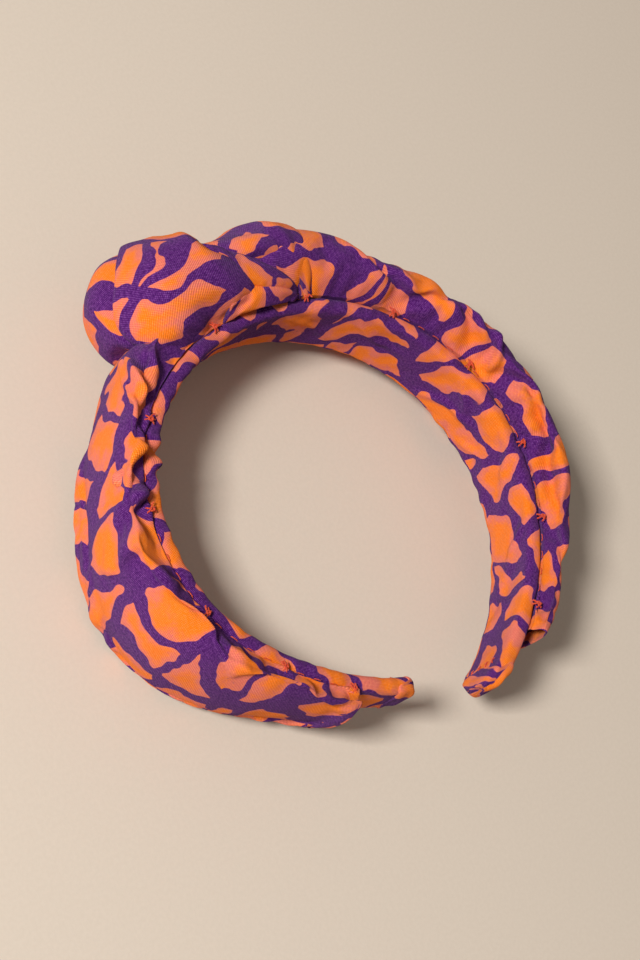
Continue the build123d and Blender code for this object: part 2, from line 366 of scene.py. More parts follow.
def tube(paths, radius, sides=6):
    """Points and faces of round tubes along several paths of points in mm, as one mesh's data."""
    points, faces = [], []
    turn = np.linspace(0, 2 * math.pi, sides, endpoint=False)
    for path in paths:
        side, up = across_path(path)
        thin = radius * np.interp(np.arange(len(path)), [0, 1, len(path) - 2, len(path) - 1], [0.5, 1, 1, 0.5])
        ring = path[:, None] + thin[:, None, None] * (
            side[:, None] * np.cos(turn)[None, :, None] + up[:, None] * np.sin(turn)[None, :, None]
        )
        first = len(points)
        points += ring.reshape(-1, 3).tolist()
        for i in range(len(path) - 1):
            for j in range(sides):
                k = (j + 1) % sides
                a, b = first + i * sides, first + (i + 1) * sides
                faces.append((a + j, a + k, b + k, b + j))
        faces.append(tuple(first + j for j in range(sides))[::-1])
        faces.append(tuple(first + (len(path) - 1) * sides + j for j in range(sides)))
    return points, faces


def threads(name, paths, radius):
    """Two-ply thread along each path, as one mesh."""
    strands = []
    for path in paths:
        fine = catmull(path, 6 * len(path))
        length = np.concatenate([[0], np.cumsum(np.linalg.norm(np.diff(fine, axis=0), axis=1))])
        side, up = across_path(fine)
        twist = length * 2 * math.pi / THREAD_LAY
        for phase in (0, math.pi):
            round_it = side * np.cos(twist + phase)[:, None] + up * np.sin(twist + phase)[:, None]
            strands.append(fine + 0.55 * radius * round_it)
    points, faces = tube(strands, radius * 0.62)
    mesh = bpy.data.meshes.new(name)
    mesh.from_pydata((np.array(points) * MM).tolist(), [], faces)
    mesh.polygons.foreach_set("use_smooth", [True] * len(faces))
    return new_object(name, mesh)


def wobble(x, wave, seed, y=0.0):
    """Smooth irregular waves between about -1 and 1, of a mean wavelength, along x and y."""
    chance = np.random.default_rng(seed)
    total = 0.0
    for _ in range(5):
        turn = chance.uniform(0, 2 * math.pi)
        long = wave * chance.uniform(0.7, 1.6)
        way = chance.uniform(-0.9, 0.9)
        total = total + np.sin(2 * math.pi * (x + y * way) / long + turn)
    return total / 2.6


def line_distance(x, y, line):
    """Distance from each point to a line of points, and the share of the way along it."""
    best = np.full(x.shape, 1e9)
    share = np.zeros(x.shape)
    line = np.array(line, float)
    steps = np.linalg.norm(np.diff(line, axis=0), axis=1)
    done = 0.0
    for a, b, length in zip(line[:-1], line[1:], steps):
        t = np.clip(((x - a[0]) * (b[0] - a[0]) + (y - a[1]) * (b[1] - a[1])) / length**2, 0, 1)
        d = np.hypot(x - a[0] - t * (b[0] - a[0]), y - a[1] - t * (b[1] - a[1]))
        nearer = d < best
        best = np.where(nearer, d, best)
        share = np.where(nearer, (done + t * length) / steps.sum(), share)
        done += length
    return best, share


# ---- materials ------------------------------------------------------------------------------------


class Nodes:
    """Short ways to add shader nodes to one material."""

    def __init__(self, name):
        self.material = bpy.data.materials.new(name)
        self.material.use_nodes = True
        self.tree = self.material.node_tree
        self.tree.nodes.clear()
        self.out = self.add("ShaderNodeOutputMaterial")
        self.shader = self.add("ShaderNodeBsdfPrincipled")
        self.link(self.shader.outputs["BSDF"], self.out.inputs["Surface"])

    def add(self, kind, **settings):
        node = self.tree.nodes.new(kind)
        for key, value in settings.items():
            setattr(node, key, value)
        return node

    def link(self, start, end):
        self.tree.links.new(start, end)

    def feed(self, socket, value):
        if isinstance(value, bpy.types.NodeSocket):
            self.link(value, socket)
        else:
            socket.default_value = value

    def math(self, operation, a, b=0.0, c=0.0):
        node = self.add("ShaderNodeMath", operation=operation)
        for socket, value in zip(node.inputs, (a, b, c)):
            self.feed(socket, value)
        return node.outputs[0]

    def vector(self, operation, a, b=(0.0, 0.0, 0.0), scale=1.0):
        node = self.add("ShaderNodeVectorMath", operation=operation)
        self.feed(node.inputs[0], a)
        self.feed(node.inputs[1], b)
        if operation == "SCALE":
            self.feed(node.inputs["Scale"], scale)
        return node.outputs[0]

    def noise(self, where, scale, detail=2.0, rough=0.5, colour=False):
        node = self.add("ShaderNodeTexNoise")
        self.feed(node.inputs["Vector"], where)
        node.inputs["Scale"].default_value = scale
        node.inputs["Detail"].default_value = detail
        node.inputs["Roughness"].default_value = rough
        return node.outputs["Color" if colour else "Fac"]

    def cells(self, where, scale, feature):
        node = self.add("ShaderNodeTexVoronoi", feature=feature, voronoi_dimensions="2D")
        self.link(where, node.inputs["Vector"])
        node.inputs["Scale"].default_value = scale
        node.inputs["Randomness"].default_value = 1.0
        return node.outputs["Distance"]

    def ramp(self, value, low, high):
        node = self.add("ShaderNodeMapRange", interpolation_type="SMOOTHSTEP")
        self.feed(node.inputs["Value"], value)
        self.feed(node.inputs["From Min"], low)
        self.feed(node.inputs["From Max"], high)
        return node.outputs["Result"]

    def mix(self, share, a, b):
        node = self.add("ShaderNodeMix", data_type="RGBA")
        self.feed(node.inputs["Factor"], share)
        self.feed(node.inputs["A"], a)
        self.feed(node.inputs["B"], b)
        return node.outputs["Result"]

    def bump(self, height, distance, strength):
        node = self.add("ShaderNodeBump")
        node.inputs["Strength"].default_value = strength
        node.inputs["Distance"].default_value = distance
        self.feed(node.inputs["Height"], height)
        self.link(node.outputs["Normal"], self.shader.inputs["Normal"])

    def finish(self, rough, sheen=0.0, specular=0.3):
        self.shader.inputs["Roughness"].default_value = rough
        self.shader.inputs["Sheen Weight"].default_value = sheen
        self.shader.inputs["Sheen Roughness"].default_value = 0.45
        self.shader.inputs["Specular IOR Level"].default_value = specular


def linear(red, green, blue):
    """Linear colour from 0-255 display values."""
    return tuple((c / 255) ** 2.2 for c in (red, green, blue)) + (1.0,)


SALMON = (226, 112, 96)
ORANGE = (244, 118, 22)
ORANGE_FLECK = (254, 186, 130)
DARK_PURPLE = (66, 20, 88)
PURPLE = (92, 36, 112)
PURPLE_FLECK = (158, 104, 178)

# Print cells for each mm of cloth, the scale and push of the noises that bend them, and the weave's repeat in mm.
CELL_SCALE = 0.062
CELL_BENDS = ((0.045, 22.0), (0.12, 7.0), (0.5, 0.5))
WEAVE_REPEAT = 0.62


def printed_cotton(name, shift, turn=0.0):
    """Plain-weave cotton with a hand-cut print: orange shapes, paler at their edges, on a purple ground."""
    m = Nodes(name)
    mapping = m.add("ShaderNodeMapping")
    m.link(m.add("ShaderNodeUVMap", uv_map="cloth").outputs["UV"], mapping.inputs["Vector"])
    mapping.inputs["Scale"].default_value = (METRE, METRE, METRE)
    mapping.inputs["Location"].default_value = (shift[0], shift[1], 0)
    mapping.inputs["Rotation"].default_value = (0, 0, turn)
    cloth = mapping.outputs["Vector"]
    # The print's shapes are cells, bent by coarse noise and left ragged by fine noise.
    moved = cloth
    for scale, push in CELL_BENDS:
        bent = m.vector("SUBTRACT", m.noise(cloth, scale, 1.0, colour=True), (0.5, 0.5, 0.5))
        moved = m.vector("ADD", moved, m.vector("SCALE", bent, scale=push))
    moved = m.vector("MULTIPLY", moved, (1.0, 0.8, 1.0))
    to_edge = m.cells(moved, CELL_SCALE, "DISTANCE_TO_EDGE")
    to_middle = m.cells(moved, CELL_SCALE, "F1")
    # A gap of ground is left along the cells' edges, wider at their corners, which rounds them.
    corner = m.math("MAXIMUM", m.math("SUBTRACT", to_middle, 0.42), 0.0)
    gap = m.math("MULTIPLY_ADD", m.noise(cloth, 0.07, 1.0), 0.44, -0.1)
    gap = m.math("MULTIPLY_ADD", corner, 0.3, gap)
    inside = m.math("SUBTRACT", to_edge, gap)
    shape = m.ramp(inside, -0.006, 0.006)
    mottle = m.noise(cloth, 0.11, 3.0, 0.6)
    slub = m.noise(cloth, 1.3, 4.0, 0.75)
    depth = m.math("MULTIPLY_ADD", mottle, 0.9, m.math("MULTIPLY_ADD", slub, 0.35, inside))
    orange = m.mix(m.ramp(depth, 0.6, 0.88), linear(*SALMON), linear(*ORANGE))
    ground = m.mix(m.ramp(slub, 0.3, 0.7), linear(*DARK_PURPLE), linear(*PURPLE))
    # The weave shades the cloth and lets paler thread show in flecks.
    split = m.add("ShaderNodeSeparateXYZ")
    m.link(cloth, split.inputs[0])
    turns = 2 * math.pi / WEAVE_REPEAT
    warp = m.math("SINE", m.math("MULTIPLY", split.outputs["X"], turns))
    weft = m.math("SINE", m.math("MULTIPLY", split.outputs["Y"], turns))
    weave = m.math("MULTIPLY", warp, weft)
    fleck = m.math("MULTIPLY", m.ramp(weave, -0.1, 0.8), m.ramp(slub, 0.36, 0.66))
    ground = m.mix(m.math("MULTIPLY", fleck, 0.55), ground, linear(*PURPLE_FLECK))
    orange = m.mix(m.math("MULTIPLY", fleck, 0.4), orange, linear(*ORANGE_FLECK))
    colour = m.mix(shape, ground, orange)
    shade = m.math("MULTIPLY_ADD", m.ramp(weave, -0.9, 0.1), 0.28, 0.78)
    m.link(m.vector("SCALE", colour, scale=shade), m.shader.inputs["Base Color"])
    m.finish(0.9, 0.05, 0.12)
    m.bump(m.math("MULTIPLY_ADD", weave, 0.5, slub), 0.00026, 0.8)
    return m.material


def plain(name, dark, light, scale, rough, grain, strength, sheen=0.0, stretch=(1, 1, 1)):
    """A material with one fine grain in its colour and its surface."""
    m = Nodes(name)
    where = m.vector("MULTIPLY", m.add("ShaderNodeTexCoord").outputs["Object"], tuple(METRE * c for c in stretch))
    fine = m.noise(where, scale, 4.0, 0.6)
    m.link(m.mix(m.ramp(fine, 0.3, 0.7), linear(*dark), linear(*light)), m.shader.inputs["Base Color"])
    m.finish(rough, sheen)
    m.bump(fine, grain, strength)
    return m.material


SLEEVE_PRINT = printed_cotton("sleeve_cotton", shift=(83.0, 19.0), turn=0.4)
LINING_PRINT = printed_cotton("lining_cotton", shift=(37.0, 61.0), turn=0.9)
THREAD = plain("tack_thread", (176, 48, 26), (224, 84, 44), 2.4, 0.6, 0.0001, 0.5, 0.2)
PLASTIC = plain("band_plastic", (214, 214, 208), (232, 232, 228), 0.8, 0.4, 0.00005, 0.2)
FOAM = plain("foam_rubber", (222, 214, 190), (244, 238, 220), 1.8, 0.95, 0.0004, 0.8)
WADDING = plain("polyester_wadding", (236, 236, 234), (252, 252, 250), 0.9, 1.0, 0.0008, 0.9, 0.3, (1, 0.4, 1))


# ---- pieces ---------------------------------------------------------------------------------------

SIDES = {LEFT: "left", RIGHT: "right"}


def dress(piece, material, node):
    """Gives the piece its material, and has it stand for a CAD node."""
    piece.data.materials.clear()
    piece.data.materials.append(material)
    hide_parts(node)


def bend(piece):
    """Bakes the piece's transform into its mesh."""
    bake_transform(piece)


# Distances from the crown: the tacks on each arm, those at the knot, and the lining's ends.
TACKS = {LEFT: (57.0, 82.0, 112.0, 138.0, 160.5), RIGHT: (46.0, 75.0, 103.0, 126.0, 154.0)}
KNOT_TACKS = (-19.5, 15.5)
TIP = {LEFT: 184.5, RIGHT: 184.0}


def near_tack(side, s, wide):
    """1 at a tack, falling to 0 away from it."""
    places = list(TACKS[side]) + [abs(k) for k in KNOT_TACKS if k * side > 0]
    return np.max([np.exp(-(((s - t) / wide) ** 2)) for t in places], axis=0)


# Lines of (distance from the crown, height above the band's middle) of the folds on the lining's inner face.
LINING_FOLDS = {
    LEFT: (((20, -9), (34, 4)), ((44, 10), (52, -2)), ((88, 9), (98, -4)), ((120, 10), (131, -3))),
    RIGHT: (
        ((8, 10), (24, 2), (36, -8)), ((34, 11), (46, 3), (60, 1)), ((70, -10), (80, -2), (96, 2)),
        ((76, 11), (84, 5), (88, -2)), ((92, -9), (101, -3)), ((104, 10), (112, 1)), ((126, 9), (138, -1)),
        ((146, -6), (158, 3)),
    ),
}


# Layers of the band: from and to what depth, how much narrower than the lining, and the radius of their corners.
LINING_LAYER = (0.0, BAND_OUT, 0.0, 1.9)
CORE_LAYER = (2.5, 4.3, 1.2, 0.8)
FOAM_LAYER = (0.7, 2.4, 1.3, 0.7)
LAYER_SHORT = 5


def band_layer(name, side, n_in, n_out, less, radius, end, lining=False):
    """Rounded flat tube along half of the band, from the crown to end. The lining is ruffled, and open at its ends."""
    line = [(a, -1, 0, -1) for a in np.linspace(-1, 1, 19)]
    line += [(1, -1, math.sin(a), -math.cos(a)) for a in np.radians([22, 45, 68, 90])]
    line += [(1, c, 1, 0) for c in (0.0, 1.0)]
    line += [(1, 1, math.cos(a), math.sin(a)) for a in np.radians([22, 45, 68, 90])]
    line += [(a, 1, 0, 1) for a in np.linspace(0.8, -0.8, 9)]
    line += [(-1, 1, -math.sin(a), math.cos(a)) for a in np.radians([0, 22, 45, 68, 90])]
    line += [(-1, c, -1, 0) for c in (0.0, -1.0)]
    line += [(-1, -1, -math.cos(a), -math.sin(a)) for a in np.radians([22, 45, 68])]
    across, up, out_z, out_n = np.array(line).T
    s = np.linspace(0, end, int(end / ROW_STEP))[:, None]
    half = band_half(s) - less
    middle, deep = (n_in + n_out) / 2, (n_out - n_in) / 2
    z = across * (half - radius) + radius * out_z
    n = middle + up * (deep - radius) + radius * out_n
    if lining:
        # Its edges are ruffled between the tacks, most of all at the left arm's deep pucker.
        inner = np.clip(-up * 0.5 + 0.5, 0, 1) * np.ones(s.shape)
        edge = smooth(np.abs(z) / half, 0.55, 1.0)
        pinch = near_tack(side, s, 3.0)
        ruffle = 0.55 + 0.45 * wobble(s, 7.5, 11 + side) + 0.2 * wobble(s, 4.0, 21 + side)
        deepest = 1.6 * np.exp(-(((s - 69) / 11) ** 2)) * (z > 0) if side == LEFT else 0.0
        swell = ruffle * (0.55 + deepest) * (1 - pinch) - 0.5 * pinch
        z = z + np.sign(z) * edge * swell * np.abs(out_z * 0.6 + np.sign(out_z) * 0.4)
        n = n + inner * edge * (0.5 * wobble(s, 6.0, 31 + side) * (1 - pinch) * (0.5 + deepest) - 0.2)
        # Its inner face swells over the foam, and is creased by the folds.
        belly = inner * (1 - edge)
        waves = 0.35 * wobble(s, 17.0, 41 + side, z * 1.3)
        n = n - belly * (0.35 + waves + 0.18 * wobble(s, 7.0, 43, z * 2.2))
        for line in LINING_FOLDS[side]:
            d, share = line_distance(s + 0 * z, z + 0 * s, line)
            fade = np.sin(math.pi * np.clip(share, 0.03, 0.97))
            n = n - inner * fade * (1.3 * np.exp(-((d / 1.1) ** 2)) - 0.25 * np.exp(-(((d - 2.2) / 1.4) ** 2)))
        closing = smooth(s, end - 4.5, end)
        z = z * (1 - 0.42 * closing**2)
        n = middle + (n - middle) * (1 - 0.75 * closing**2)
    return grid_object(name, place(side * np.broadcast_to(s, z.shape), n, z), caps=not lining)


def sleeve(name, side, sections, creases, seed):
    """Puffed cloth tube on one arm, and its grid's rows and columns.

    creases are lines of (distance, degrees round from the outermost line), with a depth and a width in mm. A
    negative depth is a ridge.
    """
    start, end = sections[0][0], sections[-1][0]
    rows = int((end - start) / ROW_STEP)
    columns = SLEEVE_COLUMNS
    s = np.linspace(start, end, rows)[:, None] * np.ones((1, columns))
    angle = np.linspace(-math.pi, math.pi, columns, endpoint=False)[None, :] * np.ones((rows, 1))
    thick = curve(sections, s, 1) / 2
    wide = curve(sections, s, 2)
    n = OVAL_BASE + thick * (1 + np.cos(angle))
    z = wide * np.sin(angle) - curve(sections, s, 3)
    out_n = wide * np.cos(angle)
    out_z = thick * np.sin(angle)
    size = np.hypot(out_n, out_z)
    girth = math.pi / 180 * (thick + wide) / 2
    degrees = np.degrees(angle)
    depth = 0.35 * wobble(s, 24.0, seed, degrees * 0.3) + 0.12 * wobble(s, 9.0, seed + 5, degrees * 0.3)
    held = np.zeros(s.shape)
    sharp = np.zeros(s.shape)
    for line, deep, broad in creases:
        line = np.array(line, float)
        middle = line[:, 1].mean()
        per = float(girth[np.abs(s[:, 0] - line[:, 0].mean()).argmin(), 0])
        d, share = line_distance(s, (degrees - middle) * per, [(a, (b - middle) * per) for a, b in line])
        fade = np.clip(3.5 * share, 0, 1) * np.clip(3.5 * (1 - share), 0, 1)
        shoulder = 0.4 * np.exp(-(((d - 2.3 * broad) / (1.3 * broad)) ** 2))
        depth -= deep * fade * (np.exp(-((d / broad) ** 2)) - shoulder)
        sharp += 0.42 * deep * fade * np.exp(-d / 0.7)
        held = np.maximum(held, (d < 0.8) * (fade > 0.25))
    tight = near_tack(side, s, 5.0)
    seam = np.abs(degrees)
    pull = np.exp(-(((seam - 142) * girth / 7) ** 2)) * tight
    ripple = np.cos(2 * math.pi * s / 5.6 + 2.5 * wobble(s, 30.0, seed + 9))
    depth += 0.45 * ripple * np.exp(-(((seam - 132) * girth / 5) ** 2)) - 2.6 * pull
    n = n + depth * out_n / size
    z = z + depth * out_z / size
    # The cloth comes in to the lining's edge, where the seam holds it, and goes on behind the band.
    low = 102 + 12 * tight
    inner = smooth(seam, low, SEAM_AT)
    edge = np.sign(degrees) * (band_half(s) + 0.2) * np.clip((HIDDEN_AT - seam) / (HIDDEN_AT - SEAM_AT), 0, 1)
    n = n + (BAND_OUT + 0.2 - n) * inner
    z = z + (edge - z) * inner
    made = grid_object(name, place(side * s, n, z))
    pins = (seam > SEAM_AT).astype(float)
    pins = np.maximum(pins, (seam > 132) * near_tack(side, s, 1.6) > 0.5)
    pins[:2] = 1
    pins[-2:] = 1
    pins = np.maximum(pins, held * 0.8)
    settle(made, pins.ravel(), pressure=1.6, grow=0.035, frames=22, limit=2.5)
    set_coords(made, coords(made) - normals(made) * sharp.reshape(-1, 1))
    return made, (rows, columns)


# Creases of the sleeves: a line of (distance, degrees), its depth and its width.
LEFT_CREASES = (
    (((40, 30), (45, 44), (50, 78), (56, 128)), -2.2, 1.1),
    (((42, 62), (47, 88), (54, 128)), 4.2, 1.5),
    (((40, 14), (46, 32), (52, 64), (57, 118)), 1.6, 0.8),
    (((64, 150), (70, 116), (76, 84), (81, 52)), 4.2, 1.8),
    (((70, 132), (74, 108), (76, 88)), 5.5, 2.0),
    (((78, 142), (80, 112), (80, 84)), -2.4, 1.3),
    (((58, 132), (66, 120), (74, 106)), 2.4, 0.9),
    (((59, 141), (67, 133), (75, 124)), 2.0, 0.8),
    (((84, 134), (82, 80), (86, 30), (94, 2)), 3.2, 2.2),
    (((109, 136), (101, 92), (92, 66)), 1.8, 1.8),
    (((112, 134), (121, 84), (126, 40)), 1.4, 1.8),
    (((137, 134), (128, 96), (118, 80)), 1.0, 1.4),
    (((60, -60), (84, -40), (104, -52)), 1.6, 2.4),
    (((106, -80), (124, -66), (140, -84)), 1.4, 2.2),
)
RIGHT_CREASES = (
    (((47, 134), (40, 92), (32, 60), (26, 20)), 2.6, 1.8),
    (((46, 132), (56, 100), (60, 60)), 2.2, 1.8),
    (((74, 138), (66, 104), (60, 84)), 2.4, 1.6),
    (((83, 146), (79, 118), (75, 88), (73, 66)), -2.2, 1.3),
    (((78, 140), (86, 114), (92, 98), (97, 86)), 2.4, 1.3),
    (((90, 100), (100, 112), (112, 120), (128, 118)), 4.4, 1.7),
    (((127, 134), (136, 104), (142, 84)), 1.4, 1.4),
    (((30, -20), (52, -34), (74, -20)), 1.8, 2.4),
    (((84, -50), (104, -30), (120, -52)), 1.8, 2.2),
)

# Rows of the hem's cloth, from inside the sleeve round to its outside: how far past its end, and how far in.
HEM_FOLD = ((-5.5, 1.3), (-3.0, 1.0), (-0.3, 0.7), (0.35, 0.2), (0.2, -0.35), (-1.2, -0.45), (-3.6, -0.25))


def hem_fold(name, grid):
    """Cloth folded in round the end of a sleeve's grid."""
    end = grid[-1:]
    centre = end.mean(1, keepdims=True)
    back = grid[-4:-3]
    ahead = (end - back) / np.linalg.norm(end - back, axis=-1, keepdims=True)
    inward = (centre - end) / np.linalg.norm(centre - end, axis=-1, keepdims=True)
    return grid_object(name, np.concatenate([end + ahead * past + inward * depth for past, depth in HEM_FOLD]))


def tip_fold(name, side):
    """The lining's end, folded over the tip: a short cap with a slanting edge."""
    turn = np.linspace(0, 2 * math.pi, 56, endpoint=False)
    wide = np.sign(np.cos(turn)) * np.abs(np.cos(turn)) ** 0.45
    deep = np.sign(np.sin(turn)) * np.abs(np.sin(turn)) ** 0.45
    u = np.linspace(0, 1, 15)[:, None]
    first = TIP[side] - 6.5 + 2.2 * wide * np.where(deep < 0, 1, -1)
    s = first + u * (TIP[side] + 0.9 - first)
    closing = smooth(u, 0.6, 1.0) ** 2
    lip = 0.55 * (u < 0.03)
    half = (band_half(s) + 0.45 - lip) * (1 - 0.42 * smooth(s, TIP[side] - 6, TIP[side] + 1) ** 2) + 0.2
    z = wide * half * (1 - 0.3 * closing)
    n = BAND_OUT / 2 + deep * (BAND_OUT / 2 + 0.5 - lip) * (1 - 0.5 * closing)
    n = n + 0.25 * wobble(s, 6.0, 3, z)
    return grid_object(name, place(side * s, n, z), caps=True)


STITCH_STEP = 5.4


def tack_paths(s, edge):
    """Threads of one tack on an edge of the band, 1 near or -1 far: two stitches, a small knot and its tail."""
    half = band_half(s) + 0.1
    paths = []
    for lean in (-0.8, 0.6):
        paths.append(
            [(s + lean, 6.3, half + 0.3), (s + 0.5 * lean, 5.6, half + 0.9), (s + 0.1 * lean, 4.7, half + 1.0)]
            + [(s - 0.5 * lean, 3.8, half + 0.8), (s - lean, 3.0, half + 0.1)]
        )
    paths.append(
        [(s + 0.5 * math.cos(a), 4.7 + 0.6 * math.sin(a), half + 1.0 + 0.06 * a) for a in np.linspace(0, 8, 12)]
        + [(s + 1.3, 4.5, half + 1.4), (s + 1.8, 3.9, half + 1.3)]
    )
    return [place(*(np.array(path) * (1, 1, edge)).T) for path in paths]


def running_stitches(side, edge):
    """Short stitches along a sleeve's seam."""
    paths = []
    for s in np.arange(TACKS[side][0] + STITCH_STEP, TACKS[side][-1], STITCH_STEP):
        if near_tack(side, s, 3.0) < 0.4:
            half = band_half(s)
            line = [(s - 1.1, 4.6, half - 0.1), (s - 0.6, 4.6, half + 0.25), (s + 0.6, 4.6, half + 0.25)]
            line.append((s + 1.1, 4.6, half - 0.1))
            paths.append(place(*(np.array(line) * (side, 1, edge)).T))
    return paths


def tip_stitches(side):
    """Stitches that hold the folded tip, on the inner face."""
    paths = []
    for z in (-4.2, -1.2, 1.8, 4.6):
        s = TIP[side] - 6.5 - 2.2 * z / 9
        line = [(s - 1.4, 0.1, z), (s - 0.8, -0.5, z), (s + 0.6, -0.85, z + 0.4), (s + 1.2, -0.3, z + 0.5)]
        paths.append(place(*(np.array(line) * (side, 1, 1)).T))
    return paths


def arm(side, sections, creases):
    """Every piece of one arm, and its half of the lining, the band core and the foam."""
    word = SIDES[side]
    cloth, shape = sleeve(f"{word}_sleeve_cloth", side, sections, creases, 7 + side)
    for tack in TACKS[side]:
        gather(cloth, (side * tack, 4.8, band_half(tack) + 0.4), 9.0, 1.2, 4)
        gather(cloth, (side * tack, 4.8, -band_half(tack) - 0.4), 8.0, 0.6, 3)
    rest_on_floor(cloth)
    grid = coords(cloth).reshape(shape + (3,))
    # The wadding fills the sleeve, short of its ends.
    core = grid[4:-6:2, ::3]
    middle = core.mean(1, keepdims=True)
    fill = grid_object(f"{word}_wadding_fill", middle + (core - middle) * 0.55, caps=True)
    hem = hem_fold(f"{word}_hem_cloth", grid)
    refine(cloth)
    refine(hem)
    lining = band_layer(f"lining_{word}", side, *LINING_LAYER, TIP[side], lining=True)
    refine(lining)
    core_strip = band_layer(f"band_core_{word}", side, *CORE_LAYER, TIP[side] - LAYER_SHORT)
    foam = band_layer(f"comfort_foam_{word}", side, *FOAM_LAYER, TIP[side] - LAYER_SHORT)
    flap = tip_fold(f"{word}_tip_fold_cloth", side)
    refine(flap)
    stitches = []
    ties = []
    for edge in (1, -1):
        ties += [path for tack in TACKS[side] for path in tack_paths(side * tack, edge)]
        stitches += running_stitches(side, edge)
    tack_thread = threads(f"{word}_tack_threads", ties, TACK_RADIUS)
    seam_thread = threads(f"{word}_seam_threads", stitches, SEAM_RADIUS)
    tip_thread = threads(f"{word}_tip_threads", tip_stitches(side), TACK_RADIUS)
    dress(cloth, SLEEVE_PRINT, f"{word}_sleeve")
    dress(hem, SLEEVE_PRINT, f"{word}_sleeve_hem")
    dress(fill, WADDING, f"{word}_wadding")
    dress(lining, LINING_PRINT, "lining")
    dress(core_strip, PLASTIC, "band_core")
    dress(foam, FOAM, "comfort_foam")
    dress(flap, LINING_PRINT, f"{word}_tip_fold")
    dress(tack_thread, THREAD, f"{word}_edge_tacks")
    dress(seam_thread, THREAD, f"{word}_seam_stitches")
    dress(tip_thread, THREAD, f"{word}_tip_stitches")
    for piece in (cloth, hem, fill, lining, core_strip, foam, flap, tack_thread, seam_thread, tip_thread):
        bend(piece)


arm(LEFT, LEFT_SECTIONS, LEFT_CREASES)
arm(RIGHT, RIGHT_SECTIONS, RIGHT_CREASES)


# The knot's folded belts, as nets of (s, n, z) from one end to the other.
OVER_LOOP = (
    ((-37, 6, 11.5), (-29, 5, 12.3), (-20, 3.8, 12), (-11, 4.5, 13), (-3, 4, 13.5)),
    ((-39, 13, 11.5), (-33, 11, 17.5), (-22, 9, 18.5), (-12, 8.5, 20.5), (-4, 7.5, 19.5)),
    ((-39.5, 20.5, 8.5), (-35, 20, 16), (-26, 18.5, 21.5), (-14, 16.5, 23), (-6, 14, 22)),
    ((-36.5, 28.5, 10), (-31, 28.5, 15.5), (-24, 27, 20), (-15.5, 24.5, 22.5), (-9, 20.5, 22.5)),
    ((-30, 34.5, 8.5), (-26, 34.5, 13), (-21, 33, 17), (-15.5, 30.5, 20), (-11.5, 25.5, 21)),
    ((-23, 39.5, 4), (-20, 38.5, 6), (-16, 35.5, 9.5), (-13, 32.5, 13), (-9.5, 28, 16)),
    ((-23, 35, -6), (-19, 35.5, -6), (-14, 33.5, -4), (-10, 30.5, -2), (-6, 26.5, 1)),
    ((-26, 27, -17), (-21, 29, -18), (-15, 28, -18), (-10, 25, -16), (-6, 22, -13)),
    ((-25, 15, -20), (-20, 16, -22), (-15, 16, -22), (-10, 15, -21), (-6, 13, -18)),
    ((-22, 4, -11), (-19, 4, -12.5), (-16, 4, -12.6), (-13, 4, -12.4), (-10, 4, -11)),
)
LEFT_TUCK = (
    ((-18, 30, 12), (-18, 35, 6), (-18, 37.5, -2), (-18, 36, -10), (-19, 31, -17)),
    ((-25, 29, 12), (-25.5, 35.5, 6), (-25.5, 39, -1), (-24.5, 36, -9), (-23.5, 29, -17)),
    ((-31, 24, 12), (-32.5, 30, 6), (-33.5, 34, 0), (-32, 31, -9), (-30, 25, -16)),
    ((-35, 17, 11), (-36.5, 23, 6), (-37, 26.5, -1), (-35.5, 24, -9), (-33, 19, -14.5)),
    ((-36.5, 12, 10), (-37.5, 16.5, 6), (-38, 18, -1), (-36.5, 16, -8), (-34, 13, -13)),
    ((-33, 9, 10), (-34, 11, 5), (-34, 11.5, 0), (-33.5, 11, -6), (-32, 9, -11)),
)
UPPER_STRAND = (
    ((-13, 29.5, 15), (-12, 27, 19), (-11, 22, 21.5), (-10, 17, 21)),
    ((-5, 22.5, 15), (-6, 21, 19), (-7, 17, 21.5), (-7, 12, 21)),
    ((3, 15.5, 14.5), (2, 14.5, 18), (0, 11, 20.5), (-2, 7.5, 20)),
    ((10, 10, 13), (9.5, 9.5, 15.5), (7, 7, 17.5), (5, 5.5, 17)),
    ((16, 5, 11), (15.5, 5, 12.2), (15, 4.5, 12.5), (14.5, 4, 12.5)),
)
LOWER_STRAND = (
    ((-14, 9, 19), (-14, 7, 18.5), (-15, 5, 16), (-16, 3.5, 12.5)),
    ((-6, 8.5, 20), (-6, 6, 19), (-7, 4, 16.5), (-8, 3, 13)),
    ((3, 7, 19), (3, 5, 18), (2, 3.5, 15.5), (1, 2.8, 13)),
    ((10, 5.5, 16), (10, 4.5, 15.5), (9, 3.5, 14), (9, 3, 12.5)),
    ((16, 4.8, 12.6), (15.5, 4.3, 12.8), (15.3, 4, 12.6), (15, 3.6, 12)),
)
UNDER_LOOP = (
    ((-7, 4, -11), (2, 4, -12.5), (8, 4, -12.6), (13, 4, -11)),
    ((-13, 13, -16), (1, 15, -21.5), (11, 15, -22), (19, 13, -19)),
    ((-14, 22.5, -13), (1, 27.5, -17.5), (12, 27, -18), (20, 21, -15)),
    ((-15, 26, -5), (2, 32, -6), (13, 31, -7), (21, 24, -7)),
    ((-15, 25.5, 4), (0, 31, 4), (12, 31, 6), (21, 23.5, 5)),
    ((-13, 22.5, 11), (2, 27.5, 13), (11.5, 27.5, 15), (20, 20, 14)),
    ((-5, 16.5, 15.5), (5, 21.5, 19.5), (12, 21.5, 20.5), (19, 15.5, 18)),
    ((7, 11.5, 16.5), (9.5, 13, 18.5), (13.5, 12.5, 19), (18.5, 9.5, 17)),
    ((15, 4.8, 12), (15.5, 4.8, 12.5), (16.5, 4.8, 12.6), (17.5, 4.5, 12)),
)
